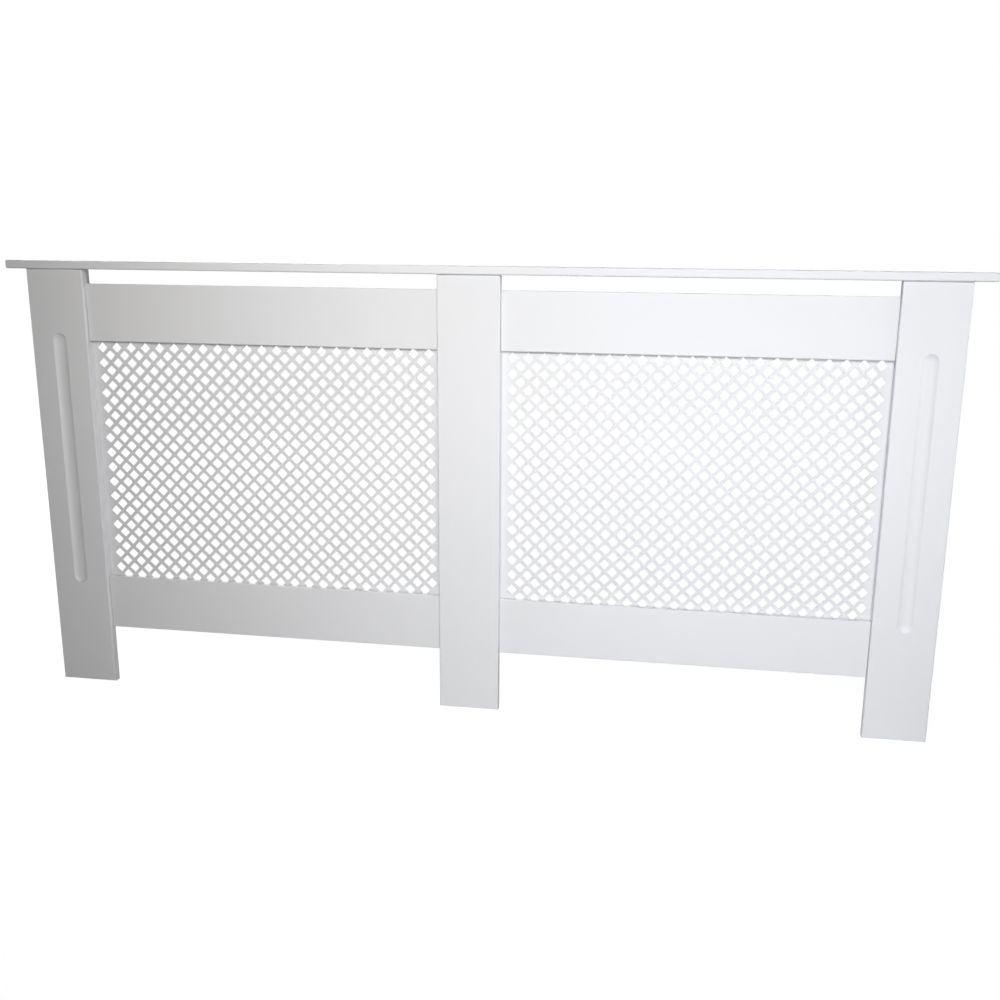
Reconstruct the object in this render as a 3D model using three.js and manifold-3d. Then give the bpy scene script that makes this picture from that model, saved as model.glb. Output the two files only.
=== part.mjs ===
// Radiator cover cabinet: a white painted MDF surround that stands on the floor with its open
// back to the wall. Three upright stiles and four rails frame two bays, a perforated hardboard
// sheet closes each bay from behind, two side panels return to the wall, and a shelf caps it all.
// Millimetres. +X is to the right seen from the front, the front faces -Y, and +Z is up.
// The origin is on the floor, under the middle of the shelf.
import * as THREE from 'three';
import { mergeGeometries, mergeVertices } from 'three/addons/utils/BufferGeometryUtils.js';
import Module from 'manifold-3d';

// ---------------------------------------------------------------- driving dimensions
// front frame
const stileHeight = 800;
const stileThickness = 15;
const endStileWidth = 110;
const centreStileWidth = 112;
const bayWidth = 661;
const railThickness = 9;
const upperRailHeight = 104;
const lowerRailHeight = 104;
const footHeight = 113; // floor to the underside of the lower rails
const ventHeight = 25.5; // upper rails to the underside of the shelf
const jointGap = 0.5; // left between a rail's end and the stile
const arrisRadius = 2; // the router's rounding of every front edge
const arrisSteps = 3;

// the cove that is routed up the middle of each end stile
const fluteWidth = 26;
const fluteDepth = 5;
const fluteBottom = 202; // above the floor
const fluteTopMargin = 116; // below the top of the stile
const fluteSides = 32;

// shelf
const shelfThickness = 15;
const shelfDepth = 183;
const shelfFrontOverhang = 5;
const shelfEndOverhang = 36;
const shelfArrisRadius = 3;

// side panels
const sidePanelThickness = 15;
const skirtingNotchHeight = 120;
const skirtingNotchDepth = 20;

// perforated sheets: square holes on a grid that is turned by 45 degrees
const grilleThickness = 3;
const grilleSideLap = 20; // onto the back of each stile
const grilleUpperLap = 14; // onto the back of the upper rail
const grilleLowerLap = 32; // onto the back of the lower rail
const grilleHolePitch = 33;
const grilleBarWidth = 10.5;
const grilleSideMargin = 10; // plain strip beside the stiles
const grilleEndMargin = 14; // plain strip at the top and bottom edges

// corner battens, glued behind the end stiles
const battenSize = 18;
const battenEndMargin = 24;

// beech dowels between rails and stiles
const dowelDiameter = 6;
const dowelLength = 30;
const dowelEdgeDistance = 26; // from the rail's top and bottom edges
const dowelEndChamfer = 1;
const dowelEndRoom = 1;
const dowelSides = 6;

// steel angle brackets
const bracketLeg = 25;
const bracketWidth = 16;
const bracketThickness = 2;
const bracketHoleDistance = 16; // from the bend
const wallBracketDrop = 78; // from the underside of the shelf
const frontBracketSetback = 26; // from the back of the battens
const rearBracketSetback = 60; // from the wall

// screws
const screwDiameter = 4;
const screwHeadDiameter = 8;
const screwHeadHeight = 2.4;
const screwHeadTopDiameter = 5.6; // the flat on top of the domed head
const screwHeadRim = 1; // straight edge under the dome
const screwPoint = 3;
const bracketScrewLength = 12;
const battenScrewLength = 30;
const battenScrewMargin = 80; // from the ends of the batten
const battenScrewCount = 3;
const screwSides = 6;
const screwEndRoom = 1; // drilled past the point, and in front of the face under the head
const holeClearance = 0.2; // all round a dowel or screw

// ---------------------------------------------------------------- places worked out from them
const frameWidth = 2 * endStileWidth + 2 * bayWidth + centreStileWidth;
const shelfLength = frameWidth + 2 * shelfEndOverhang;
const wallY = shelfDepth / 2;
const frontY = -shelfDepth / 2 + shelfFrontOverhang;
const stileBackY = frontY + stileThickness;
const railFrontY = stileBackY - railThickness;
const lowerRailTop = footHeight + lowerRailHeight;
const upperRailTop = stileHeight - ventHeight;
const upperRailBottom = upperRailTop - upperRailHeight;
const bayCentreX = (centreStileWidth + bayWidth) / 2;
const endStileX = (frameWidth - endStileWidth) / 2;
const sideInnerX = frameWidth / 2 - sidePanelThickness;

// ---------------------------------------------------------------- finishes
function finish(color, roughness, metalness = 0) {
  return new THREE.MeshStandardMaterial({ color, roughness, metalness });
}
const whitePaint = finish('#eceef3', 0.5);
const grillePaint = finish('#e6e8ee', 0.55);
const battenWood = finish('#d9bd8c', 0.8);
const dowelWood = finish('#d8b382', 0.75);
const zincSteel = finish('#b9bcc0', 0.35, 0.9);

// ---------------------------------------------------------------- solids: cutting and joining
const wasm = await Module();
wasm.setup();

function solidFrom(geometry) {
  const bare = geometry.clone();
  bare.deleteAttribute('normal');
  bare.deleteAttribute('uv');
  const merged = mergeVertices(bare, 1e-4);
  const vertProperties = new Float32Array(merged.attributes.position.array);
  const triVerts = new Uint32Array(merged.index.array);
  return new wasm.Manifold(new wasm.Mesh({ numProp: 3, vertProperties, triVerts }));
}

function geometryFrom(solid) {
  const { vertProperties, triVerts } = solid.getMesh();
  const geometry = new THREE.BufferGeometry();
  geometry.setAttribute('position', new THREE.BufferAttribute(vertProperties, 3));
  geometry.setIndex(new THREE.BufferAttribute(triVerts, 1));
  geometry.computeVertexNormals();
  return geometry;
}

// Takes the cutters, given in the cabinet's own frame, out of a placed mesh.
function cut(mesh, cutters) {
  mesh.updateWorldMatrix(true, false);
  const toLocal = mesh.matrixWorld.clone().invert();
  let solid = solidFrom(mesh.geometry);
  for (const cutter of cutters) solid = solid.subtract(solidFrom(cutter.clone().applyMatrix4(toLocal)));
  mesh.geometry = geometryFrom(solid);
}

// ---------------------------------------------------------------- the assembly
const cabinet = new THREE.Group();

function add(parent, name, geometry, material, x = 0, y = 0, z = 0) {
  const mesh = new THREE.Mesh(geometry, material);
  mesh.name = name;
  mesh.position.set(x, y, z);
  parent.add(mesh);
  return mesh;
}

// A board lying in X and Z with its front at y = 0. Quarter rounds ease the front arrises, and
// the back ones where backRadius is given. A square top edge is left as it was sawn.
function easedBoard(width, height, thickness, frontRadius, backRadius = 0, squareTop = false) {
  const stations = [];
  for (let step = arrisSteps; step >= 0; step--) {
    const angle = (step / arrisSteps) * (Math.PI / 2);
    stations.push([frontRadius * (1 - Math.sin(angle)), frontRadius * (1 - Math.cos(angle))]);
  }
  for (let step = 0; step <= (backRadius ? arrisSteps : 0); step++) {
    const angle = (step / arrisSteps) * (Math.PI / 2);
    stations.push([thickness - backRadius * (1 - Math.sin(angle)), backRadius * (1 - Math.cos(angle))]);
  }
  const corners = [];
  for (const [y, inset] of stations) {
    const side = width / 2 - inset;
    const top = height / 2 - (squareTop ? 0 : inset);
    const bottom = -height / 2 + inset;
    corners.push(-side, y, bottom, side, y, bottom, side, y, top, -side, y, top);
  }
  const triangles = [0, 1, 2, 0, 2, 3];
  for (let ring = 0; ring < stations.length - 1; ring++) {
    for (let corner = 0; corner < 4; corner++) {
      const near = 4 * ring + corner;
      const next = 4 * ring + ((corner + 1) % 4);
      triangles.push(near, near + 4, next, next, near + 4, next + 4);
    }
  }
  const last = 4 * (stations.length - 1);
  triangles.push(last, last + 2, last + 1, last, last + 3, last + 2);
  const geometry = new THREE.BufferGeometry();
  geometry.setAttribute('position', new THREE.Float32BufferAttribute(corners, 3));
  geometry.setIndex(triangles);
  geometry.computeVertexNormals();
  return geometry;
}

// A flat outline drawn in two of the cabinet's axes and pushed along the third.
function extruded(shape, depth, across, up, along) {
  const geometry = new THREE.ExtrudeGeometry(shape, { depth, bevelEnabled: false });
  return geometry.applyMatrix4(new THREE.Matrix4().makeBasis(across, up, along));
}
const alongX = new THREE.Vector3(1, 0, 0);
const alongY = new THREE.Vector3(0, 1, 0);
const alongZ = new THREE.Vector3(0, 0, 1);
const towardsFront = new THREE.Vector3(0, -1, 0);

// ---------------------------------------------------------------- front frame
const frontFrame = new THREE.Group();
frontFrame.position.y = frontY;
cabinet.add(frontFrame);

function stile(name, width, x) {
  const board = easedBoard(width, stileHeight, stileThickness, arrisRadius);
  return add(frontFrame, name, board, whitePaint, x, 0, stileHeight / 2);
}

// The cove is the mark of a round-nosed cutter, sunk by fluteDepth: a long capsule whose
// radius gives fluteWidth at the surface, with ball ends.
function fluteCutter(x) {
  const radius = (fluteWidth ** 2 / 4 + fluteDepth ** 2) / (2 * fluteDepth);
  const length = stileHeight - fluteTopMargin - fluteBottom;
  const cutter = new THREE.CapsuleGeometry(radius, length - fluteWidth, fluteSides / 4, fluteSides);
  cutter.rotateX(Math.PI / 2);
  return cutter.translate(x, frontY + fluteDepth - radius, fluteBottom + length / 2);
}

const leftStile = stile('left_end_stile', endStileWidth, -endStileX);
const rightStile = stile('right_end_stile', endStileWidth, endStileX);
const centreStile = stile('centre_stile', centreStileWidth, 0);
cut(leftStile, [fluteCutter(-endStileX)]);
cut(rightStile, [fluteCutter(endStileX)]);

function rail(name, height, side, bottom) {
  const board = easedBoard(bayWidth - 2 * jointGap, height, railThickness, arrisRadius);
  const setBack = stileThickness - railThickness;
  return add(frontFrame, name, board, whitePaint, side * bayCentreX, setBack, bottom + height / 2);
}

// ---------------------------------------------------------------- dowelled joints
// Two dowels at each end of each rail, half in the rail and half in the stile.
const dowelY = railFrontY + railThickness / 2;

function dowelGeometry() {
  const radius = dowelDiameter / 2;
  const half = dowelLength / 2;
  const profile = [
    [0, -half], [radius - dowelEndChamfer, -half], [radius, -half + dowelEndChamfer],
    [radius, half - dowelEndChamfer], [radius - dowelEndChamfer, half], [0, half],
  ].map(([r, y]) => new THREE.Vector2(r, y));
  return new THREE.LatheGeometry(profile, dowelSides);
}

function dowelHole(x, z) {
  const radius = dowelDiameter / 2 + holeClearance;
  const hole = new THREE.CylinderGeometry(radius, radius, dowelLength + 2 * dowelEndRoom, dowelSides);
  return hole.rotateZ(Math.PI / 2).translate(x, dowelY, z);
}

function dowelledRail(name, height, side, bottom) {
  const board = rail(name, height, side, bottom);
  const stiles = side < 0 ? [leftStile, centreStile] : [centreStile, rightStile];
  const railHoles = [];
  stiles.forEach((neighbour, end) => {
    const x = side * bayCentreX + (end - 0.5) * bayWidth;
    const heights = [bottom + dowelEdgeDistance, bottom + height - dowelEdgeDistance];
    const holes = heights.map((z) => dowelHole(x, z));
    heights.forEach((z, index) => {
      const dowelName = `dowel_${name}_${end ? 'right' : 'left'}_${index ? 'top' : 'bottom'}`;
      const dowel = add(cabinet, dowelName, dowelGeometry(), dowelWood, x, dowelY, z);
      dowel.rotation.z = Math.PI / 2;
    });
    cut(neighbour, holes);
    railHoles.push(...holes);
  });
  cut(board, railHoles);
}

for (const [word, side] of [['left', -1], ['right', 1]]) {
  dowelledRail(`upper_rail_${word}`, upperRailHeight, side, upperRailBottom);
  dowelledRail(`lower_rail_${word}`, lowerRailHeight, side, footHeight);
}

// ---------------------------------------------------------------- perforated sheets
// Holes sit on every other crossing of a half-pitch grid, which is a square grid at 45 degrees.
function perforatedSheet(width, height) {
  const holeSide = grilleHolePitch - grilleBarWidth;
  const reach = holeSide / Math.SQRT2; // half a hole's diagonal
  const step = grilleHolePitch / Math.SQRT2;
  const columns = Math.floor((bayWidth / 2 - grilleSideMargin - reach) / step);
  const rows = Math.floor((height / 2 - grilleEndMargin - reach) / step);
  const punch = new THREE.BoxGeometry(holeSide, 2 * grilleThickness, holeSide).rotateY(Math.PI / 4);
  const punches = [];
  for (let row = -rows; row <= rows; row++) {
    for (let column = -columns; column <= columns; column++) {
      if ((row + rows + column + columns) % 2) continue;
      punches.push(punch.clone().translate(column * step, 0, row * step));
    }
  }
  const blank = new THREE.BoxGeometry(width, grilleThickness, height);
  return geometryFrom(solidFrom(blank).subtract(solidFrom(mergeGeometries(punches))));
}

const grilleBottom = lowerRailTop - grilleLowerLap;
const grilleTop = upperRailBottom + grilleUpperLap;
for (const [word, side] of [['left', -1], ['right', 1]]) {
  const sheet = perforatedSheet(bayWidth + 2 * grilleSideLap, grilleTop - grilleBottom);
  const y = stileBackY + grilleThickness / 2;
  add(cabinet, `grille_${word}`, sheet, grillePaint, side * bayCentreX, y, (grilleBottom + grilleTop) / 2);
}

// ---------------------------------------------------------------- shelf
// Its long front edge and both ends are eased above and below, and its wall edge is square.
const easing = shelfArrisRadius;
const shelfBoard = easedBoard(shelfLength, shelfDepth, shelfThickness, easing, easing, true);
shelfBoard.rotateX(-Math.PI / 2);
const shelf = add(cabinet, 'top_shelf', shelfBoard, whitePaint, 0, 0, stileHeight + shelfThickness);

// ---------------------------------------------------------------- screws
// A pan head screw driven towards +Y, with the underside of its head at the origin.
function screwGeometry(length) {
  const shank = screwDiameter / 2;
  const head = screwHeadDiameter / 2;
  const profile = [
    [0, -screwHeadHeight], [screwHeadTopDiameter / 2, -screwHeadHeight], [head, -screwHeadRim],
    [head, 0], [shank, 0], [shank, length - screwPoint], [0, length],
  ].map(([r, y]) => new THREE.Vector2(r, y));
  return new THREE.LatheGeometry(profile, screwSides);
}

// The drill starts just outside the face that the head lies on, and ends past the point.
function screwHole(length) {
  const radius = screwDiameter / 2 + holeClearance;
  const drill = new THREE.CylinderGeometry(radius, radius, length + 2 * screwEndRoom, screwSides);
  return drill.translate(0, length / 2, 0);
}

// Drives a screw through the loose piece into the fixed one, and drills both for it.
function driveScrew(name, length, place, direction, pieces) {
  const screw = add(cabinet, name, screwGeometry(length), zincSteel, place.x, place.y, place.z);
  screw.quaternion.setFromUnitVectors(alongY, direction);
  screw.updateWorldMatrix(true, false);
  const hole = screwHole(length).applyMatrix4(screw.matrixWorld);
  for (const piece of pieces) cut(piece, [hole]);
}

// ---------------------------------------------------------------- angle brackets
// One leg hangs down a face at x = 0, and the other lies under a face at z = 0.
function angleBracket(name, x, y, z, turnX, turnZ) {
  const outline = new THREE.Shape([
    new THREE.Vector2(0, 0),
    new THREE.Vector2(0, -bracketLeg),
    new THREE.Vector2(bracketThickness, -bracketLeg),
    new THREE.Vector2(bracketThickness, -bracketThickness),
    new THREE.Vector2(bracketLeg, -bracketThickness),
    new THREE.Vector2(bracketLeg, 0),
  ]);
  const strip = extruded(outline, bracketWidth, alongX, alongZ, towardsFront);
  strip.translate(0, bracketWidth / 2, 0);
  const bracket = add(cabinet, name, strip, zincSteel, x, y, z);
  bracket.rotation.set(turnX, 0, turnZ);
  return bracket;
}

const intoUpright = new THREE.Vector3(-1, 0, 0);
const intoShelf = alongZ;

// The screw's place and direction are given in the bracket's own frame.
function bracketScrew(bracket, suffix, localPlace, localDirection, piece) {
  bracket.updateWorldMatrix(true, false);
  const place = localPlace.clone().applyMatrix4(bracket.matrixWorld);
  const direction = localDirection.clone().transformDirection(bracket.matrixWorld);
  driveScrew(`screw_${bracket.name}_${suffix}`, bracketScrewLength, place, direction, [bracket, piece]);
}

function screwLegToUpright(bracket, upright) {
  const place = new THREE.Vector3(bracketThickness, 0, -bracketHoleDistance);
  bracketScrew(bracket, 'upright', place, intoUpright, upright);
}

function screwLegToShelf(bracket) {
  const place = new THREE.Vector3(bracketHoleDistance, 0, -bracketThickness);
  bracketScrew(bracket, 'shelf', place, intoShelf, shelf);
}

// The leg that lies on the wall gets only its hole, because that screw belongs to the room.
function drillWallLeg(bracket) {
  const hole = screwHole(bracketThickness).rotateX(Math.PI / 2);
  hole.translate(bracketHoleDistance, 0, -bracketThickness);
  bracket.updateWorldMatrix(true, false);
  cut(bracket, [hole.applyMatrix4(bracket.matrixWorld)]);
}

// ---------------------------------------------------------------- side panels and battens
// Each side panel stands behind its end stile, flush with the stile's outer edge, and has a
// notch at the foot that clears the room's skirting board.
function sidePanel(word, side) {
  const notchY = wallY - skirtingNotchDepth;
  const outline = new THREE.Shape([
    new THREE.Vector2(stileBackY, 0),
    new THREE.Vector2(notchY, 0),
    new THREE.Vector2(notchY, skirtingNotchHeight),
    new THREE.Vector2(wallY, skirtingNotchHeight),
    new THREE.Vector2(wallY, stileHeight),
    new THREE.Vector2(stileBackY, stileHeight),
  ]);
  const board = extruded(outline, sidePanelThickness, alongY, alongZ, alongX);
  board.translate(-sidePanelThickness / 2, 0, 0);
  const x = side * (sideInnerX + sidePanelThickness / 2);
  return add(cabinet, `side_panel_${word}`, board, whitePaint, x);
}

// A square batten fills the corner between stile and side panel, and is screwed to the panel.
function cornerBatten(word, side, panel) {
  const length = stileHeight - 2 * battenEndMargin;
  const strip = new THREE.BoxGeometry(battenSize, battenSize, length);
  const x = side * (sideInnerX - battenSize / 2);
  const y = stileBackY + battenSize / 2;
  const batten = add(cabinet, `corner_batten_${word}`, strip, battenWood, x, y, stileHeight / 2);
  const screwSpacing = (length - 2 * battenScrewMargin) / (battenScrewCount - 1);
  for (let index = 0; index < battenScrewCount; index++) {
    const z = battenEndMargin + battenScrewMargin + index * screwSpacing;
    const place = new THREE.Vector3(side * (sideInnerX - battenSize), y, z);
    const outward = new THREE.Vector3(side, 0, 0);
    const screwName = `batten_screw_${word}_${index + 1}`;
    driveScrew(screwName, battenScrewLength, place, outward, [batten, panel]);
  }
}

const frontBracketY = stileBackY + battenSize + frontBracketSetback;
const rearBracketY = wallY - rearBracketSetback;
for (const [word, side] of [['left', -1], ['right', 1]]) {
  const panel = sidePanel(word, side);
  cornerBatten(word, side, panel);
  const panelFace = side * sideInnerX;
  const facing = side < 0 ? 0 : Math.PI;
  for (const [place, y] of [['front', frontBracketY], ['rear', rearBracketY]]) {
    const name = `shelf_bracket_${word}_${place}`;
    const bracket = angleBracket(name, panelFace, y, stileHeight, 0, facing);
    screwLegToUpright(bracket, panel);
    screwLegToShelf(bracket);
  }
  const wallName = `wall_bracket_${word}`;
  const wallBracketZ = stileHeight - wallBracketDrop;
  const wallBracket = angleBracket(wallName, panelFace, wallY, wallBracketZ, -Math.PI / 2, facing);
  screwLegToUpright(wallBracket, panel);
  drillWallLeg(wallBracket);
}

const centreBracket = angleBracket('shelf_bracket_centre', 0, stileBackY, stileHeight, 0, Math.PI / 2);
screwLegToUpright(centreBracket, centreStile);
screwLegToShelf(centreBracket);

export default cabinet;
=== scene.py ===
# The looks of a radiator cover cabinet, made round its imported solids. Metres: +X is to the right
# seen from the front, the front faces -Y, +Z is up, and the cabinet stands on z = 0.
import math

import bmesh
import bpy
from mathutils import Matrix, Vector


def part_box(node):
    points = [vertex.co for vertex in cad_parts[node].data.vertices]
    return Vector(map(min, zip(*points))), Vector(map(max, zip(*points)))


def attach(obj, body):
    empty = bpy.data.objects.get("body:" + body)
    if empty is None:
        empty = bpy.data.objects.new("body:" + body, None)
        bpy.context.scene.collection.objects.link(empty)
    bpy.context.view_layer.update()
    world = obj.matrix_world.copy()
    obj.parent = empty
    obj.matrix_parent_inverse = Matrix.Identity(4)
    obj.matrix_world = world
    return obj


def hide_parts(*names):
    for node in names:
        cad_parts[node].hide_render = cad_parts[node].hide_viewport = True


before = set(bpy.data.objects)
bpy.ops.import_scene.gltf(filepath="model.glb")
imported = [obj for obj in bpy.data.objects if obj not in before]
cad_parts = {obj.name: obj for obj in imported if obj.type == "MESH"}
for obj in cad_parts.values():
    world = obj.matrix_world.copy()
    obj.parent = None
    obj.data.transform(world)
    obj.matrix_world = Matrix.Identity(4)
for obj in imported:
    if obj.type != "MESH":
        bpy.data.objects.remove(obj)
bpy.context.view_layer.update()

scene = bpy.context.scene

# ---------------------------------------------------------------- camera
# It stands 1.7 m in front of the cabinet, to the right of its middle and level with the shelf. It
# looks a little down and to the left.
camera_data = bpy.data.cameras.new("camera")
camera_data.sensor_width = 36
camera_data.lens = 36.555
camera_data.shift_x = -0.0302
camera_data.shift_y = -0.0014
camera = bpy.data.objects.new("camera", camera_data)
camera.location = (0.372, -1.8331, 0.8167)
camera.rotation_euler = [math.radians(angle) for angle in (77.071, -0.708, 8.615)]
scene.collection.objects.link(camera)
scene.camera = camera
scene.view_settings.view_transform = "Standard"

# ---------------------------------------------------------------- floor, background and lamps
# A plain white studio: a floor that keeps the cabinet's shadow and a white world behind it. The
# key is a long softbox above the camera. One far to the right grazes the front, a weak one evens
# out the left bay, one low down lights the feet, and one stands behind.


class Wire:
    """One socket of a finish. Sums with it add Math nodes."""

    def __init__(self, finish, socket):
        self.finish = finish
        self.socket = socket

    def join(self, operation, first, second):
        return self.finish.node("ShaderNodeMath", {"operation": operation}, {0: first, 1: second})

    def __add__(self, other):
        return self.join("ADD", self, other)

    def __rsub__(self, other):
        return self.join("SUBTRACT", other, self)

    def __mul__(self, other):
        return self.join("MULTIPLY", self, other)

    def __pow__(self, other):
        return self.join("POWER", self, other)

    def __abs__(self):
        return self.join("ABSOLUTE", self, 0)

    __radd__ = __add__


class Finish:
    """The node tree of a material or of the world, and the one way that its nodes are made."""

    def __init__(self, tree):
        self.tree = tree
        tree.nodes.clear()

    def node(self, kind, settings, sockets, output=0):
        made = self.tree.nodes.new(kind)
        for name, value in settings.items():
            if name == "stops":
                ramp = made.color_ramp.elements
                while len(ramp) < len(value):
                    ramp.new(0.5)
                for stop, (place, colour) in zip(ramp, value):
                    stop.position = place
                    stop.color = (*colour, 1)
            else:
                setattr(made, name, value)
        for name, value in sockets.items():
            if isinstance(value, Wire):
                self.tree.links.new(value.socket, made.inputs[name])
            else:
                made.inputs[name].default_value = value
        return Wire(self, made.outputs[output]) if made.outputs else made

    def mixed(self, factor, first, second):
        sockets = {0: factor, 6: first, 7: second}
        return self.node("ShaderNodeMix", {"data_type": "RGBA"}, sockets, 2)


def new_material(name):
    material = bpy.data.materials.new(name)
    material.use_nodes = True
    return material, Finish(material.node_tree)


def seen_directly(finish):
    path = [finish.node("ShaderNodeLightPath", {}, {}, ray)
            for ray in ("Is Camera Ray", "Is Glossy Ray", "Is Transmission Ray")]
    return path[0] + path[1] + path[2]


pale_within = 1.2  # metres from the middle of the cabinet
white_beyond = 3.2


def floor_material():
    material, finish = new_material("studio_floor")
    pale = (0.90, 0.90, 0.90, 1)
    white = (1, 1, 1, 1)
    place = finish.node("ShaderNodeTexCoord", {}, {}, "Object")
    distance = finish.node("ShaderNodeVectorMath", {"operation": "LENGTH"}, {0: place}, 1)
    away = finish.node("ShaderNodeMapRange", {}, {0: distance, 1: pale_within, 2: white_beyond})
    bounce = finish.node("ShaderNodeBsdfDiffuse", {}, {"Color": (0.5, 0.5, 0.5, 1)})
    light = finish.mixed(away, pale, white)
    glow = finish.node("ShaderNodeEmission", {}, {"Color": light, "Strength": 1.0})
    shaded = finish.node("ShaderNodeBsdfDiffuse", {}, {"Color": (0.3, 0.3, 0.3, 1)})
    paper = finish.node("ShaderNodeAddShader", {}, {0: glow, 1: shaded})
    shader = finish.node("ShaderNodeMixShader", {}, {0: seen_directly(finish), 1: bounce, 2: paper})
    finish.node("ShaderNodeOutputMaterial", {}, {"Surface": shader})
    return material


sharp_angle = math.radians(40)


def piece_from(bm, name, material):
    """A finished mesh object from a bmesh, with soft shading but crisp corners."""
    mesh = bpy.data.meshes.new(name)
    bm.to_mesh(mesh)
    bm.free()
    mesh.polygons.foreach_set("use_smooth", [True] * len(mesh.polygons))
    mesh.set_sharp_from_angle(angle=sharp_angle)
    mesh.materials.append(material)
    piece = bpy.data.objects.new(name, mesh)
    scene.collection.objects.link(piece)
    return piece


floor_half_size = 14
floor_mesh = bmesh.new()
bmesh.ops.create_grid(floor_mesh, x_segments=1, y_segments=1, size=floor_half_size)
piece_from(floor_mesh, "studio_floor", floor_material())

world = bpy.data.worlds.new("studio")
world.use_nodes = True
scene.world = world
sky = Finish(world.node_tree)
ambient = sky.node("ShaderNodeBackground", {}, {"Color": (1.0, 0.98, 0.94, 1), "Strength": 0.02})
backdrop = sky.node("ShaderNodeBackground", {}, {"Color": (1, 1, 1, 1), "Strength": 1})
either = sky.node("ShaderNodeMixShader", {}, {0: seen_directly(sky), 1: ambient, 2: backdrop})
sky.node("ShaderNodeOutputWorld", {}, {"Surface": either})


def softbox(name, place, aim, width, height, spread, watts, colour):
    data = bpy.data.lights.new(name, "AREA")
    data.shape = "RECTANGLE"
    data.size = width
    data.size_y = height
    data.spread = math.radians(spread)
    data.energy = watts
    data.color = colour
    lamp = bpy.data.objects.new(name, data)
    lamp.location = place
    lamp.rotation_euler = (Vector(aim) - Vector(place)).to_track_quat("-Z", "Y").to_euler()
    lamp.visible_camera = False
    scene.collection.objects.link(lamp)


softbox("key_softbox", (0.42, -1.8, 1.56), (0.42, -0.08, 0.6), 1.5, 0.3, 95, 7.1, (0.965, 0.975, 1))
softbox("side_softbox", (2.6, -0.75, 1.1), (-0.6, -0.08, 0.5), 0.5, 0.5, 40, 0.77, (1, 1, 0.98))
softbox("left_softbox", (-0.35, -2.2, 1.4), (-0.35, 0, 0.7), 0.6, 0.5, 50, 0.86, (1, 0.92, 0.78))
softbox("low_softbox", (0.55, -2.2, 0.42), (0.75, 0, 0.08), 1.2, 0.5, 90, 4.85, (0.97, 0.975, 0.98))
softbox("rear_fill", (-1.6, 2.4, 1.8), (0, 0, 0.4), 2.0, 1.5, 180, 45, (1, 1, 1))

# ---------------------------------------------------------------- end stiles
# The two outer uprights of the front, 15 mm fibreboard. A router has eased their front arrises,
# and a round-nosed cutter has run a cove up the middle of each. Satin white paint all over.
paint_cloud_scale = 9
paint_peel_scale = 620
board_fibre_scale = 1900
paint_relief = 0.00006
painted_shade_reach = 0.0035


def white_paint(name, face_axis, tone=1.0, painted_shade=0.0):
    """Satin white paint on fibreboard. The cut edges, away from face_axis, soak up more of it.
    Painted shade greys it in the corners where the piece meets another, where shade falls."""
    material, finish = new_material(name)
    place = finish.node("ShaderNodeTexCoord", {}, {}, "Object")
    normal = finish.node("ShaderNodeNewGeometry", {}, {}, "Normal")
    along = finish.node("ShaderNodeSeparateXYZ", {}, {0: normal}, face_axis)
    cut_edge = 1 - abs(along) ** 2
    cloud = finish.node(
        "ShaderNodeTexNoise", {}, {"Vector": place, "Scale": paint_cloud_scale, "Detail": 3})
    peel = finish.node(
        "ShaderNodeTexNoise", {}, {"Vector": place, "Scale": paint_peel_scale, "Detail": 2})
    fibre = finish.node(
        "ShaderNodeTexNoise", {}, {"Vector": place, "Scale": board_fibre_scale, "Detail": 3})
    bright = (0.872 * tone, 0.878 * tone, 0.900 * tone, 1)
    dull = (0.850 * tone, 0.857 * tone, 0.880 * tone, 1)
    colour = finish.mixed(cloud, dull, bright)
    colour = finish.mixed(cut_edge * 0.25, colour, dull)
    # Painted shade: the colour goes grey wherever another surface lies close by, in the corners, joints
    # and under edges where shade falls.
    if painted_shade:
        open_air = finish.node(
            "ShaderNodeAmbientOcclusion", {"samples": 8}, {"Distance": painted_shade_reach}, "AO")
        painted_shade_grey = (0.34, 0.33, 0.33, 1)
        colour = finish.mixed((1 - open_air) * painted_shade, colour, painted_shade_grey)
    height = peel * 0.6 + fibre * (0.1 + cut_edge * 0.5)
    relief = finish.node(
        "ShaderNodeBump", {}, {"Strength": 0.35, "Distance": paint_relief, "Height": height})
    shader = finish.node("ShaderNodeBsdfPrincipled", {}, {
        "Base Color": colour,
        "Roughness": 0.40 + cloud * 0.10 + cut_edge * 0.12,
        "IOR": 1.46,
        "Normal": relief,
    })
    finish.node("ShaderNodeOutputMaterial", {}, {"Surface": shader})
    return material


front_paint = white_paint("front_paint", "Y")


def board(low, high):
    bm = bmesh.new()
    bmesh.ops.create_cube(bm, size=1)
    bmesh.ops.scale(bm, vec=high - low, verts=bm.verts)
    bmesh.ops.translate(bm, vec=(low + high) / 2, verts=bm.verts)
    return bm


hair = 1e-6  # points closer than this are one point
weld = 1e-5  # the same, where whole pieces of skin are joined


def level(edge, axis, value):
    """Whether both ends of an edge lie at this value of an axis."""
    return all(abs(vert.co[axis] - value) < hair for vert in edge.verts)


def ease(bm, edges, radius, segments=5):
    bmesh.ops.bevel(bm, geom=edges, offset=radius, offset_type="OFFSET", affect="EDGES",
                    segments=segments, profile=0.5, material=-1, clamp_overlap=True)


def even_shading(piece):
    """Keeps broad flat faces flat beside their rounded arrises."""
    modifier = piece.modifiers.new("even_shading", "WEIGHTED_NORMAL")
    modifier.keep_sharp = True
    return piece


def stand_for(piece, slot, *nodes):
    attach(piece, "root")
    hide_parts(*nodes)
    return piece


cove_width = 0.026
cove_depth = 0.005
cove_bottom = 0.202
cove_top_margin = 0.116
cove_lip = 0.0008
cove_lip_steps = 3
cove_steps = 9  # from the lip to the deepest line
cove_end_steps = 24
stile_easing = 0.0025
saw_easing = 0.0004


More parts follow.
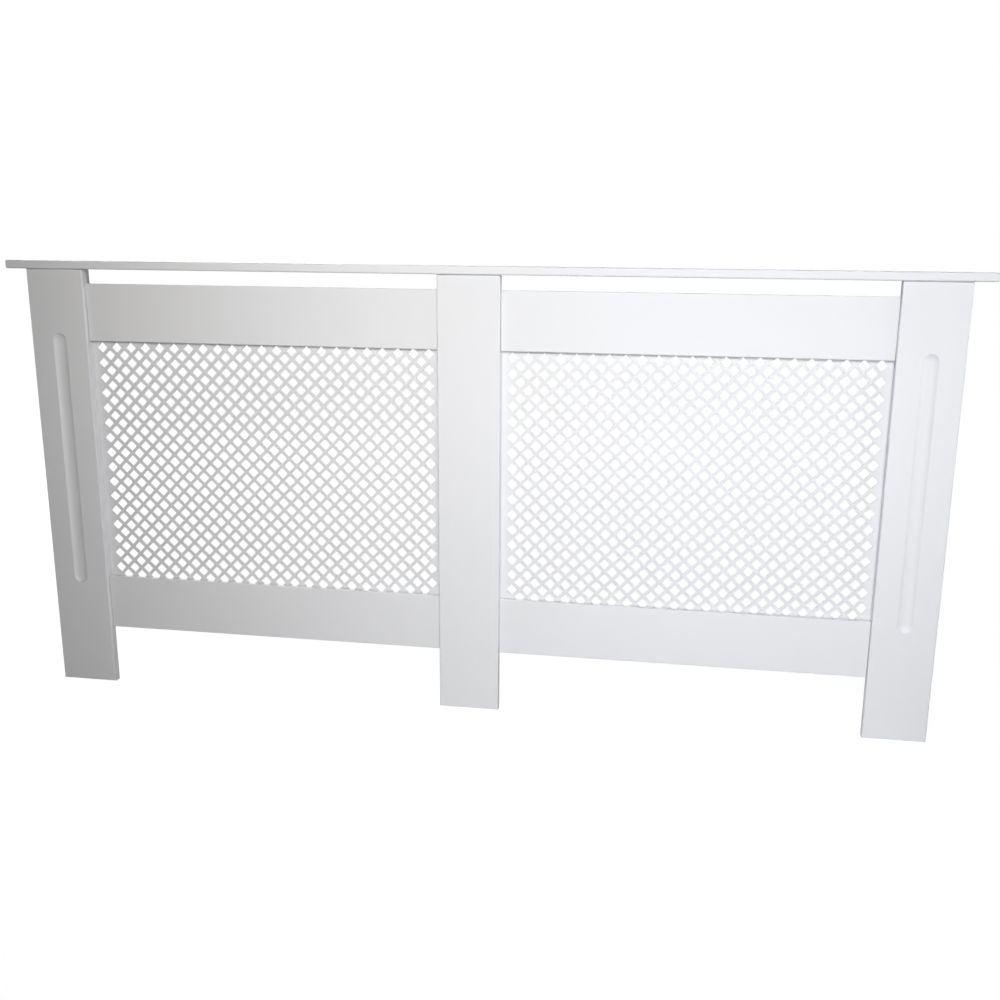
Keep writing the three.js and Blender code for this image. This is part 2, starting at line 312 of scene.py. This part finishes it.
def cove_profile(x, front):
    """Half the cove's section, from its right lip to its deepest line."""
    half = cove_width / 2
    radius = (half ** 2 + cove_depth ** 2) / (2 * cove_depth)
    rise = radius - cove_depth + cove_lip
    lip_x = math.sqrt((radius + cove_lip) ** 2 - rise ** 2)
    spread = math.atan2(lip_x, rise)
    points = []
    for step in range(cove_lip_steps + 1):
        angle = spread * step / cove_lip_steps
        points.append((x + lip_x - cove_lip * math.sin(angle),
                       front + cove_lip * (1 - math.cos(angle))))
    centre_y = front + cove_depth - radius
    for step in range(cove_steps - 1, -1, -1):
        angle = spread * step / cove_steps
        points.append((x + radius * math.sin(angle), centre_y + radius * math.cos(angle)))
    return points


def run_cove(bm, x, front, bottom, top):
    """Lays the round-ended cove's skin, and joins it to the open front of the board."""
    rim_x = cove_width / 2
    low_z = bottom + rim_x
    high_z = top - rim_x
    verts = [bm.verts.new((px, py, low_z)) for px, py in cove_profile(x, front)]
    profile = [bm.edges.new(pair) for pair in zip(verts, verts[1:])]
    half_turn = {"axis": (0, 1, 0), "steps": cove_end_steps,
                 "use_merge": False, "use_duplicate": False}
    lower = bmesh.ops.spin(bm, geom=verts + profile, cent=(x, 0, low_z), angle=math.pi, **half_turn)
    far_edges = [item for item in lower["geom_last"] if isinstance(item, bmesh.types.BMEdge)]
    sides = bmesh.ops.extrude_edge_only(bm, edges=profile + far_edges)["geom"]
    side_verts = [item for item in sides if isinstance(item, bmesh.types.BMVert)]
    bmesh.ops.translate(bm, vec=(0, 0, high_z - low_z), verts=side_verts)
    right = [v for v in side_verts if v.co.x > x - hair]
    right_edges = [e for e in {e for v in right for e in v.link_edges}
                   if level(e, 2, high_z) and all(v.co.x > x - hair for v in e.verts)]
    bmesh.ops.spin(bm, geom=right + right_edges, cent=(x, 0, high_z), angle=-math.pi, **half_turn)
    bmesh.ops.remove_doubles(bm, verts=bm.verts[:], dist=hair)
    rim = [e for e in bm.edges if e.is_boundary and level(e, 1, front)]
    bmesh.ops.triangle_fill(bm, edges=rim, use_beauty=True, normal=(0, -1, 0))
    bmesh.ops.recalc_face_normals(bm, faces=bm.faces[:])


def stile(node, name, with_cove):
    low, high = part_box(node)
    bm = board(low, high)
    ease(bm, [e for e in bm.edges if level(e, 1, low.y)], stile_easing)
    ease(bm, [e for e in bm.edges if level(e, 1, high.y)], saw_easing, segments=2)
    if with_cove:
        front_face = [f for f in bm.faces if all(abs(v.co.y - low.y) < hair for v in f.verts)]
        bmesh.ops.delete(bm, geom=front_face, context="FACES_ONLY")
        run_cove(bm, (low.x + high.x) / 2, low.y, cove_bottom, high.z - cove_top_margin)
    return even_shading(stand_for(piece_from(bm, name, front_paint), "white_paint", node))


stile("left_end_stile", "left_fluted_stile", True)
stile("right_end_stile", "right_fluted_stile", True)

# ---------------------------------------------------------------- centre stile
# The plain upright between the two bays, of the same 15 mm board as the end stiles. Its front
# arrises are eased like theirs.
stile("centre_stile", "plain_centre_stile", False)

# ---------------------------------------------------------------- rails
# Thinner boards, set back from the stiles, above and below each perforated sheet. All their
# front arrises are eased, so a fine groove shows where a rail is drawn up to a stile, and
# painted shade greys the paint in that groove and in the rail's other corners.
rail_paint = white_paint("rail_paint", "Y", painted_shade=0.9)
rail_easing = 0.0018
rail_closing = Vector((0.0004, 0, 0))

for level_name in ("upper", "lower"):
    for side in ("left", "right"):
        node = f"{level_name}_rail_{side}"
        low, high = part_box(node)
        bm = board(low - rail_closing, high + rail_closing)
        ease(bm, [e for e in bm.edges if level(e, 1, low.y)], rail_easing)
        ease(bm, [e for e in bm.edges if level(e, 1, high.y)], saw_easing, segments=2)
        rail = piece_from(bm, f"{level_name}_{side}_rail_board", rail_paint)
        even_shading(stand_for(rail, "white_paint", node))

# ---------------------------------------------------------------- dowels
# Turned beech pegs, two at each end of each rail, glued half into the rail and half into the
# stile. They keep their solids, and only get their wood.


def wood(name, light, dark, grain_axis, ring_scale):
    """Planed timber, with its grain drawn out along one axis."""
    material, finish = new_material(name)
    place = finish.node("ShaderNodeTexCoord", {}, {}, "Object")
    stretch = Vector((1, 1, 1))
    stretch[grain_axis] = 0.04
    drawn = finish.node("ShaderNodeMapping", {}, {"Vector": place, "Scale": stretch})
    rings = finish.node("ShaderNodeTexNoise", {}, {"Vector": drawn, "Scale": ring_scale, "Detail": 2})
    pores = finish.node("ShaderNodeTexNoise", {}, {"Vector": drawn, "Scale": 2400, "Detail": 3})
    bands = finish.node(
        "ShaderNodeValToRGB", {"stops": [(0.40, light), (0.52, dark), (0.60, light)]}, {0: rings})
    colour = finish.mixed(pores * 0.3, bands, (*dark, 1))
    relief = finish.node(
        "ShaderNodeBump", {}, {"Strength": 0.4, "Distance": 0.0001, "Height": pores + rings * 0.3})
    shader = finish.node("ShaderNodeBsdfPrincipled", {}, {
        "Base Color": colour, "Roughness": 0.62 + pores * 0.15, "Normal": relief})
    finish.node("ShaderNodeOutputMaterial", {}, {"Surface": shader})
    return material


beech = wood("beech", (0.66, 0.43, 0.24), (0.56, 0.34, 0.17), 0, 420)
for node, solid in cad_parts.items():
    if node.startswith("dowel_"):
        solid.data.materials.clear()
        solid.data.materials.append(beech)

# ---------------------------------------------------------------- perforated sheets
# Hardboard, 3 mm thick, punched with square holes on a diagonal grid and painted with the rest.
# Each sheet lies on the backs of the stiles and rails, and its grid runs a touch out of level.
hole_pitch = 0.020
bar_width = 0.0058
hole_easing = 0.0003
hole_seam = 1e-7  # where the front and back halves of a hole's wall are joined
grid_columns = range(-22, 23)  # half pitches from the middle of the grid
grid_rows = range(-15, 17)
grid_turn = -0.0052
left_grid_middle = (-0.3848, 0.4339)
right_grid_middle = (0.3880, 0.4338)


def punched_cell(bm, front, back):
    """One diamond of sheet round one hole, on the origin, with eased rims front and back."""
    reach = hole_pitch / math.sqrt(2)
    middle = (front + back) / 2
    corners = [(reach, 0), (0, reach), (-reach, 0), (0, -reach)]
    hole = bm.faces.new([bm.verts.new((x, front, z)) for x, z in corners])
    hole.normal_update()
    bmesh.ops.inset_individual(bm, faces=[hole], thickness=bar_width / 2, use_even_offset=True)
    rim = hole.edges[:]
    wall = bmesh.ops.extrude_edge_only(bm, edges=rim)["geom"]
    bmesh.ops.translate(bm, vec=(0, middle - front, 0),
                        verts=[item for item in wall if isinstance(item, bmesh.types.BMVert)])
    bmesh.ops.delete(bm, geom=[hole], context="FACES_ONLY")
    ease(bm, rim, hole_easing, segments=2)
    bmesh.ops.mirror(bm, geom=bm.verts[:] + bm.edges[:] + bm.faces[:], axis="Y",
                     matrix=Matrix.Translation((0, -middle, 0)), merge_dist=hole_seam)


def perforated_sheet(node, name, grid_middle, material):
    low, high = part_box(node)
    middle_x, middle_z = grid_middle
    cell = bmesh.new()
    punched_cell(cell, low.y, high.y)
    template = bpy.data.meshes.new("cell")
    cell.to_mesh(template)
    cell.free()
    step = hole_pitch / math.sqrt(2)
    turn = Matrix.Rotation(grid_turn, 4, "Y")
    bm = bmesh.new()
    for row in grid_rows:
        for column in grid_columns:
            if (row + column) % 2:
                continue
            first = len(bm.verts)
            bm.from_mesh(template)
            bm.verts.ensure_lookup_table()
            place = Matrix.Translation((middle_x, 0, middle_z)) @ turn
            place = place @ Matrix.Translation((column * step, 0, row * step))
            bmesh.ops.transform(bm, matrix=place, verts=bm.verts[first:])
    bpy.data.meshes.remove(template)
    bmesh.ops.remove_doubles(bm, verts=bm.verts[:], dist=weld)
    for y, facing in ((low.y, -1), (high.y, 1)):
        zigzag = [e for e in bm.edges if e.is_boundary and level(e, 1, y)]
        ring = [bm.verts.new((x, y, z))
                for x, z in ((low.x, low.z), (high.x, low.z), (high.x, high.z), (low.x, high.z))]
        outline = [bm.edges.new((ring[i], ring[(i + 1) % 4])) for i in range(4)]
        bmesh.ops.triangle_fill(bm, edges=zigzag + outline, use_beauty=True, normal=(0, facing, 0))
    rest = [e for e in bm.edges if e.is_boundary]
    bmesh.ops.bridge_loops(bm, edges=rest)
    bmesh.ops.recalc_face_normals(bm, faces=bm.faces[:])
    return stand_for(piece_from(bm, name, material), "grille_paint", node)


# The sheets carry painted shade too, a little weaker, under the rails and beside the stiles.
sheet_paint = white_paint("sheet_paint", "Y", 0.955, painted_shade=0.6)
perforated_sheet("grille_left", "left_perforated_sheet", left_grid_middle, sheet_paint)
perforated_sheet("grille_right", "right_perforated_sheet", right_grid_middle, sheet_paint)

# ---------------------------------------------------------------- sheet screws
# Small bright zinc screws hold each sheet to the backs of the rails and stiles. Their domed heads
# lie on the sheet's back, and each head has a cross for the driver.


def zinc(name, polish, streak_axis):
    """Bright zinc plate, with fine streaks along one axis and the odd dull bloom."""
    material, finish = new_material(name)
    place = finish.node("ShaderNodeTexCoord", {}, {}, "Object")
    stretch = Vector((1, 1, 1))
    stretch[streak_axis] = 0.06
    drawn = finish.node("ShaderNodeMapping", {}, {"Vector": place, "Scale": stretch})
    streaks = finish.node("ShaderNodeTexNoise", {}, {"Vector": drawn, "Scale": 3200, "Detail": 2})
    bloom = finish.node("ShaderNodeTexNoise", {}, {"Vector": place, "Scale": 110, "Detail": 3})
    colour = finish.mixed(bloom, (0.60, 0.61, 0.62, 1), (0.78, 0.79, 0.80, 1))
    relief = finish.node(
        "ShaderNodeBump", {}, {"Strength": 0.3, "Distance": 0.00003, "Height": streaks})
    shader = finish.node("ShaderNodeBsdfPrincipled", {}, {
        "Base Color": colour,
        "Metallic": 1.0,
        "Roughness": polish + bloom * 0.16 + streaks * 0.08,
        "Normal": relief,
    })
    finish.node("ShaderNodeOutputMaterial", {}, {"Surface": shader})
    return material


screw_zinc = zinc("screw_zinc", 0.22, 1)


def pan_screw(head_radius, head_height, shank_radius, length):
    """A cross-headed pan screw that points down, with the top of its head on the origin."""
    bm = bmesh.new()
    recess = head_radius * 0.16  # half the width of one arm of the cross
    recess_depth = head_height * 0.6
    recess_floor = 0.55  # of its width at the top
    flat = head_radius * 0.62
    shoulder = head_radius * 0.86
    straight = length * 0.75
    bmesh.ops.create_grid(bm, x_segments=3, y_segments=3, size=recess * 3)
    corner_cells = [f for f in bm.faces if f.calc_center_median().length > recess * 2.4]
    bmesh.ops.delete(bm, geom=corner_cells, context="FACES")
    cells = bm.faces[:]
    outline = [e for e in bm.edges if e.is_boundary]
    dished = bmesh.ops.extrude_face_region(bm, geom=cells)["geom"]
    dished = [item for item in dished if isinstance(item, bmesh.types.BMVert)]
    bmesh.ops.delete(bm, geom=cells, context="FACES_ONLY")
    bmesh.ops.delete(bm, geom=[e for e in bm.edges if e.is_wire], context="EDGES")
    bmesh.ops.scale(bm, vec=(recess_floor, recess_floor, 1), verts=dished)
    bmesh.ops.translate(bm, vec=(0, 0, -recess_depth), verts=dished)
    section = [(flat, 0), (shoulder, -head_height * 0.18),
               (head_radius, -head_height * 0.55), (head_radius, -head_height),
               (shank_radius, -head_height), (shank_radius, -head_height - straight),
               (0, -head_height - length)]
    line = [bm.verts.new((x, 0, z)) for x, z in section]
    edges = [bm.edges.new(pair) for pair in zip(line, line[1:])]
    bmesh.ops.spin(bm, geom=line + edges, cent=(0, 0, 0), axis=(0, 0, 1), angle=math.tau,
                   steps=16, use_merge=True, use_duplicate=False)
    bmesh.ops.remove_doubles(bm, verts=bm.verts[:], dist=hair)
    top = [e for e in bm.edges if e.is_boundary and level(e, 2, 0)]
    bmesh.ops.triangle_fill(bm, edges=top, use_beauty=True, normal=(0, 0, 1))
    bmesh.ops.recalc_face_normals(bm, faces=bm.faces[:])
    template = bpy.data.meshes.new("pan_screw")
    bm.to_mesh(template)
    bm.free()
    return template


def drive_screws(name, template, head_height, spots, direction):
    """Copies of one screw, with the undersides of their heads on the spots."""
    bm = bmesh.new()
    stand = Vector(direction).to_track_quat("-Z", "Y").to_matrix().to_4x4()
    for spot in spots:
        first = len(bm.verts)
        bm.from_mesh(template)
        bm.verts.ensure_lookup_table()
        place = Matrix.Translation(spot) @ stand @ Matrix.Translation((0, 0, head_height))
        bmesh.ops.transform(bm, matrix=place, verts=bm.verts[first:])
    bpy.data.meshes.remove(template)
    return piece_from(bm, name, screw_zinc)


sheet_screw_head = 0.0017
sheet_screw_head_radius = 0.003
sheet_screw_shank_radius = 0.0012
sheet_screw_length = 0.008
sheet_screw_edge = 0.010  # from the sheet's left or right edge
sheet_screw_foot = 0.016  # from its lower edge
sheet_screw_top = 0.007  # from its upper edge
sheet_screw_columns = 5
sheet_screw_rows = 3

for side in ("left", "right"):
    low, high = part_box(f"grille_{side}")
    low_lap = low.z + sheet_screw_foot
    high_lap = high.z - sheet_screw_top
    width = high.x - low.x - 2 * sheet_screw_edge
    spots = []
    for column in range(sheet_screw_columns):
        x = low.x + sheet_screw_edge + width * column / (sheet_screw_columns - 1)
        spots.append((x, high.y, low_lap))
        spots.append((x, high.y, high_lap))
    for row in range(1, sheet_screw_rows + 1):
        z = low_lap + (high_lap - low_lap) * row / (sheet_screw_rows + 1)
        spots.append((low.x + sheet_screw_edge, high.y, z))
        spots.append((high.x - sheet_screw_edge, high.y, z))
    small_screw = pan_screw(sheet_screw_head_radius, sheet_screw_head, sheet_screw_shank_radius,
                            sheet_screw_length)
    screws = drive_screws(f"{side}_sheet_screws", small_screw, sheet_screw_head, spots, (0, -1, 0))
    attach(screws, "root")

# ---------------------------------------------------------------- side panels
# Boards that run back to the wall from behind the end stiles. Each has a notch at its rear foot
# for the skirting board, and sawn edges that are only lightly sanded.
panel_paint = white_paint("panel_paint", "X")
panel_easing = 0.0008
notch_height = 0.120
notch_depth = 0.020

for side in ("left", "right"):
    node = f"side_panel_{side}"
    low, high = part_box(node)
    bm = bmesh.new()
    outline = [(low.y, low.z), (high.y - notch_depth, low.z),
               (high.y - notch_depth, low.z + notch_height), (high.y, low.z + notch_height),
               (high.y, high.z), (low.y, high.z)]
    face = bm.faces.new([bm.verts.new((low.x, y, z)) for y, z in outline])
    raised = bmesh.ops.extrude_face_region(bm, geom=[face])["geom"]
    bmesh.ops.translate(bm, vec=(high.x - low.x, 0, 0),
                        verts=[item for item in raised if isinstance(item, bmesh.types.BMVert)])
    bmesh.ops.recalc_face_normals(bm, faces=bm.faces[:])
    ease(bm, [e for e in bm.edges if level(e, 0, low.x) or level(e, 0, high.x)], panel_easing, segments=3)
    panel = piece_from(bm, f"{side}_side_board", panel_paint)
    even_shading(stand_for(panel, "white_paint", node))

# ---------------------------------------------------------------- corner battens
# Square softwood strips, planed and left bare. They are glued and screwed into the corners between
# the end stiles and the side panels.
pine = wood("pine", (0.75, 0.57, 0.34), (0.62, 0.42, 0.21), 2, 150)
batten_easing = 0.0012

for side in ("left", "right"):
    node = f"corner_batten_{side}"
    low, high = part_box(node)
    bm = board(low, high)
    ease(bm, bm.edges[:], batten_easing, segments=3)
    even_shading(stand_for(piece_from(bm, f"{side}_pine_batten", pine), "batten_wood", node))

# ---------------------------------------------------------------- top shelf
# The 15 mm board on top of it all. Its front edge and both ends are rounded over above and
# below, and its wall edge is square.
shelf_paint = white_paint("shelf_paint", "Z", 1.03)
shelf_easing = 0.003

low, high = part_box("top_shelf")
bm = board(low, high)
rounded = [e for e in bm.edges if (level(e, 2, low.z) or level(e, 2, high.z))
           and not level(e, 1, high.y)]
ease(bm, rounded, shelf_easing, segments=6)
shelf = piece_from(bm, "shelf_board", shelf_paint)
even_shading(stand_for(shelf, "white_paint", "top_shelf"))

# ---------------------------------------------------------------- angle brackets
# Bent steel strip, zinc plated, with rounded ends and one punched hole in each leg. Five hold the
# shelf, and two at the wall keep the cabinet from tipping.
bracket_leg = 0.025
bracket_width = 0.016
bracket_gauge = 0.002
bracket_bend = 0.0026
bracket_hole = 0.016
bracket_hole_radius = 0.0022
bracket_end_corner = 0.004
bracket_easing = 0.0002
sharp_bend = 1.2  # radians: only the strip's cut edges turn by more
screw_head = 0.0024
screw_head_radius = 0.004
screw_shank_radius = 0.002
bracket_screw_length = 0.012
strip_zinc = zinc("strip_zinc", 0.30, 1)


def bracket_leg_plate(bm):
    """The flat leg along +X, with its end corners rounded off and its screw hole."""
    half = bracket_width / 2
    corners = ((bracket_bend, -half), (bracket_leg, -half), (bracket_leg, half), (bracket_bend, half))
    plate = bm.faces.new([bm.verts.new((x, y, 0)) for x, y in corners])
    ends = [v for v in plate.verts if v.co.x > bracket_leg - hair]
    bmesh.ops.bevel(bm, geom=ends, offset=bracket_end_corner, offset_type="OFFSET", segments=5,
                    affect="VERTICES", profile=0.5, material=-1, clamp_overlap=True)
    bmesh.ops.delete(bm, geom=bm.faces[:], context="FACES_ONLY")
    hole = Matrix.Translation((bracket_hole, 0, 0))
    bmesh.ops.create_circle(bm, cap_ends=False, radius=bracket_hole_radius, segments=16, matrix=hole)
    bmesh.ops.triangle_fill(bm, edges=bm.edges[:], use_beauty=True, normal=(0, 0, 1))


def angle_bracket(node, place):
    bm = bmesh.new()
    bracket_leg_plate(bm)
    twin = bmesh.ops.duplicate(bm, geom=bm.verts[:] + bm.edges[:] + bm.faces[:])["geom"]
    swap = Matrix(((0, 0, -1, 0), (0, 1, 0, 0), (-1, 0, 0, 0), (0, 0, 0, 1)))
    twin_verts = [item for item in twin if isinstance(item, bmesh.types.BMVert)]
    bend_line = [e for e in bm.edges if level(e, 0, bracket_bend) and e.is_boundary
                 and e.verts[0] not in twin_verts]
    bmesh.ops.transform(bm, matrix=swap, verts=twin_verts)
    ends = list({v for e in bend_line for v in e.verts})
    bmesh.ops.spin(bm, geom=ends + bend_line, cent=(bracket_bend, 0, -bracket_bend),
                   axis=(0, 1, 0), angle=-math.pi / 2, steps=6, use_merge=False,
                   use_duplicate=False)
    bmesh.ops.remove_doubles(bm, verts=bm.verts[:], dist=weld)
    bmesh.ops.recalc_face_normals(bm, faces=bm.faces[:])
    upper = max(bm.faces, key=lambda face: face.calc_center_median().z)
    if upper.normal.z < 0:
        bmesh.ops.reverse_faces(bm, faces=bm.faces[:])
    bmesh.ops.solidify(bm, geom=bm.faces[:], thickness=bracket_gauge)
    ease(bm, [e for e in bm.edges if e.calc_face_angle(0) > sharp_bend], bracket_easing, segments=1)
    bmesh.ops.transform(bm, matrix=place, verts=bm.verts[:])
    bmesh.ops.recalc_face_normals(bm, faces=bm.faces[:])
    stand_for(piece_from(bm, f"{node}_strip", strip_zinc), "zinc_steel", node)


def screw_for(node, place, direction, length):
    screw = pan_screw(screw_head_radius, screw_head, screw_shank_radius, length)
    screw = drive_screws(f"{node}_pan_head", screw, screw_head, [place], direction)
    stand_for(screw, "zinc_steel", node)


def turned(angle, axis):
    return Matrix.Rotation(math.radians(angle), 4, axis)


def fix_bracket(node, corner, turn, legs):
    place = Matrix.Translation(corner) @ turn
    angle_bracket(node, place)
    spots = {"upright": ((bracket_gauge, 0, -bracket_hole), (-1, 0, 0)),
             "shelf": ((bracket_hole, 0, -bracket_gauge), (0, 0, 1))}
    for leg in legs:
        spot, into = spots[leg]
        direction = turn.to_3x3() @ Vector(into)
        screw_for(f"screw_{node}_{leg}", place @ Vector(spot), direction, bracket_screw_length)


for side, facing in (("left", 0), ("right", 180)):
    panel_low, panel_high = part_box(f"side_panel_{side}")
    panel_face = panel_high.x if side == "left" else panel_low.x
    for position in ("front", "rear"):
        node = f"shelf_bracket_{side}_{position}"
        low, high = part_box(node)
        corner = (panel_face, (low.y + high.y) / 2, high.z)
        fix_bracket(node, corner, turned(facing, "Z"), ("upright", "shelf"))
    node = f"wall_bracket_{side}"
    low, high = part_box(node)
    corner = (panel_face, high.y, (low.z + high.z) / 2)
    fix_bracket(node, corner, turned(-90, "X") @ turned(facing, "Z"), ("upright",))

low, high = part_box("shelf_bracket_centre")
fix_bracket("shelf_bracket_centre", ((low.x + high.x) / 2, low.y, high.z), turned(90, "Z"),
            ("upright", "shelf"))

# ---------------------------------------------------------------- batten screws
# Three longer screws, zinc plated like the others, go through each batten into its side panel.
# Their heads stand on the face of the batten.
batten_screw_length = 0.030

for side, outward in (("left", -1), ("right", 1)):
    for number in (1, 2, 3):
        node = f"batten_screw_{side}_{number}"
        low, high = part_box(node)
        batten_low, batten_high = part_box(f"corner_batten_{side}")
        face = batten_high.x if side == "left" else batten_low.x
        place = (face, (low.y + high.y) / 2, (low.z + high.z) / 2)
        screw_for(node, place, (outward, 0, 0), batten_screw_length)
